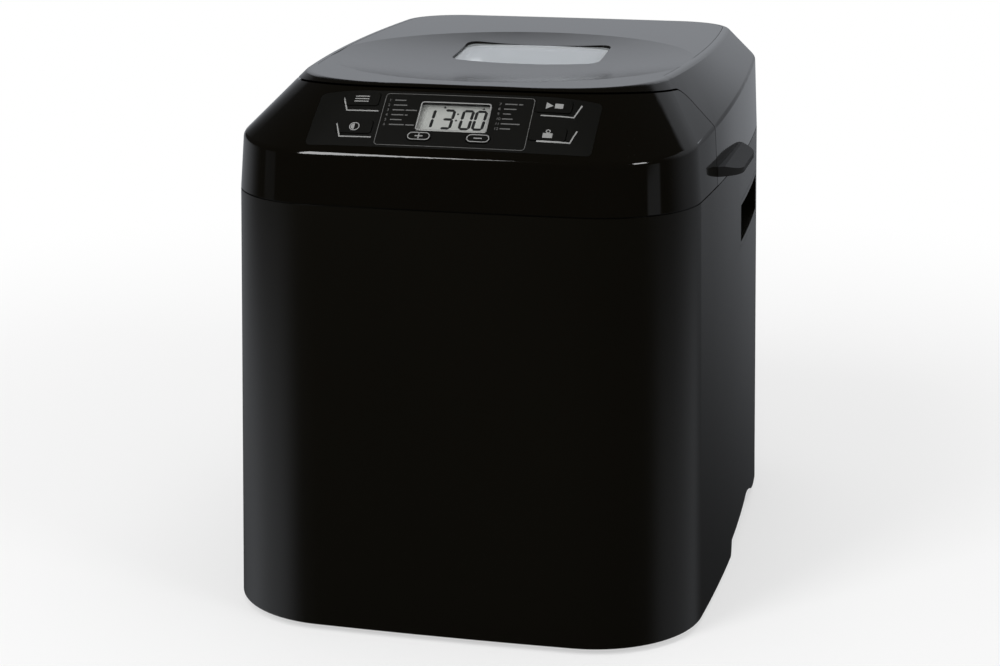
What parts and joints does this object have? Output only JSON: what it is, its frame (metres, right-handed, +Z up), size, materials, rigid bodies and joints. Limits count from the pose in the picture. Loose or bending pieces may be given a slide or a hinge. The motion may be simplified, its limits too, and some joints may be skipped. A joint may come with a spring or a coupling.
{
  "type": "bread machine",
  "caption": "Countertop bread machine with a hinged window lid, sloped key panel and display, oven, belt drive, and a lift-out bread pan with bail handle and kneading paddle.",
  "frame": {"origin": "on the standing surface, below the middle of the overall box", "axes": "+Z up, front with the display towards -Y, +X to the right as seen from the front"},
  "size_m": [0.242, 0.313, 0.255],
  "materials": {
    "body_black": "satin",
    "gloss_black": "polished",
    "panel_film": "satin",
    "key_black": "satin",
    "display_clear": "polished",
    "window_clear": "polished",
    "display_grey": "satin",
    "board_green": "satin",
    "switch_grey": "matte",
    "steel": "brushed",
    "heater_dark": "matte",
    "sheet_bright": "satin",
    "nonstick_dark": "satin",
    "pulley_white": "matte",
    "rubber_black": "matte",
    "seal_grey": "matte",
    "bearing_bronze": "satin"
  },
  "bodies": {
    "base": {"housing": "body_black", "rear_cover": "body_black", "base_tray": "body_black", "grip_cup_right": "body_black", "grip_cup_left": "body_black", "top_deck": "body_black", "console": "gloss_black", "control_panel": "panel_film", "lcd_lens": "display_clear", "lcd_module": "display_grey", "control_board": "board_green", "power_board": "board_green", "key_switches": "switch_grey", "thermal_fuse": "switch_grey", "rear_cover_screws": "steel", "base_screws": "steel", "hinge_pins": "steel", "heater_clips": "steel", "temperature_sensor": "steel", "chassis_bracket": "steel", "motor": "steel", "heating_element": "heater_dark", "oven_liner": "sheet_bright", "pan_seat": "sheet_bright", "motor_capacitor": "sheet_bright", "feet": "rubber_black", "drive_belt": "rubber_black", "cord_gland": "rubber_black", "drive_bearing": "bearing_bronze"},
    "lid": {"lid_shell": "gloss_black", "lid_top_panel": "gloss_black", "lid_window": "window_clear", "window_gasket": "seal_grey", "lid_liner": "sheet_bright", "lid_screws": "steel", "lid_tab_right": "body_black", "lid_tab_left": "body_black"},
    "pan": {"bread_pan": "nonstick_dark", "pan_bearing": "bearing_bronze"},
    "handle": {"pan_handle": "steel"},
    "paddle": {"kneading_paddle": "nonstick_dark", "pan_shaft": "steel"},
    "drive": {"drive_shaft": "steel", "drive_pulley": "pulley_white", "drive_coupler": "steel"},
    "rotor": {"motor_shaft": "steel", "motor_pulley": "pulley_white"},
    "key_menu_cap": {"key_menu": "key_black"},
    "key_crust_cap": {"key_crust": "key_black"},
    "key_start_cap": {"key_start": "key_black"},
    "key_weight_cap": {"key_weight": "key_black"},
    "key_plus_cap": {"key_plus": "key_black"},
    "key_minus_cap": {"key_minus": "key_black"}
  },
  "joints": [
    {"name": "lid_hinge", "type": "hinge", "parent": "base", "child": "lid", "pos_m": [0, 0.13782, 0.2172], "axis": [-1, 0, 0], "range_deg": [0, 85]},
    {"name": "drive_spin", "type": "hinge", "parent": "base", "child": "drive", "pos_m": [0, 0.028, 0.04], "axis": [0, 0, 1], "continuous": true},
    {"name": "motor_spin", "type": "hinge", "parent": "base", "child": "rotor", "pos_m": [-0.038, -0.1008, 0.04], "axis": [0, 0, 1], "continuous": true},
    {"name": "pan_lift", "type": "slide", "parent": "base", "child": "pan", "axis": [0, 0, 1], "range_m": [0, 0.019]},
    {"name": "paddle_spin", "type": "hinge", "parent": "pan", "child": "paddle", "pos_m": [0, 0.028, 0.09], "axis": [0, 0, 1], "continuous": true},
    {"name": "handle_swing", "type": "hinge", "parent": "pan", "child": "handle", "pos_m": [0, 0.028, 0.1838], "axis": [1, 0, 0], "range_deg": [0, 17]},
    {"name": "key_menu_press", "type": "slide", "parent": "base", "child": "key_menu_cap", "axis": [0, 0.6345, -0.7729], "range_m": [0, 0.0008], "stiffness_N_per_m": 400, "springref_m": -0.0005},
    {"name": "key_crust_press", "type": "slide", "parent": "base", "child": "key_crust_cap", "axis": [0, 0.6345, -0.7729], "range_m": [0, 0.0008], "stiffness_N_per_m": 400, "springref_m": -0.0005},
    {"name": "key_start_press", "type": "slide", "parent": "base", "child": "key_start_cap", "axis": [0, 0.6345, -0.7729], "range_m": [0, 0.0008], "stiffness_N_per_m": 400, "springref_m": -0.0005},
    {"name": "key_weight_press", "type": "slide", "parent": "base", "child": "key_weight_cap", "axis": [0, 0.6345, -0.7729], "range_m": [0, 0.0008], "stiffness_N_per_m": 400, "springref_m": -0.0005},
    {"name": "key_plus_press", "type": "slide", "parent": "base", "child": "key_plus_cap", "axis": [0, 0.6345, -0.7729], "range_m": [0, 0.0008], "stiffness_N_per_m": 400, "springref_m": -0.0005},
    {"name": "key_minus_press", "type": "slide", "parent": "base", "child": "key_minus_cap", "axis": [0, 0.6345, -0.7729], "range_m": [0, 0.0008], "stiffness_N_per_m": 400, "springref_m": -0.0005}
  ],
  "couplings": [
    {"joint": "motor_spin", "follows": "drive_spin", "ratio": 3.5},
    {"joint": "paddle_spin", "follows": "drive_spin", "ratio": 1}
  ]
}
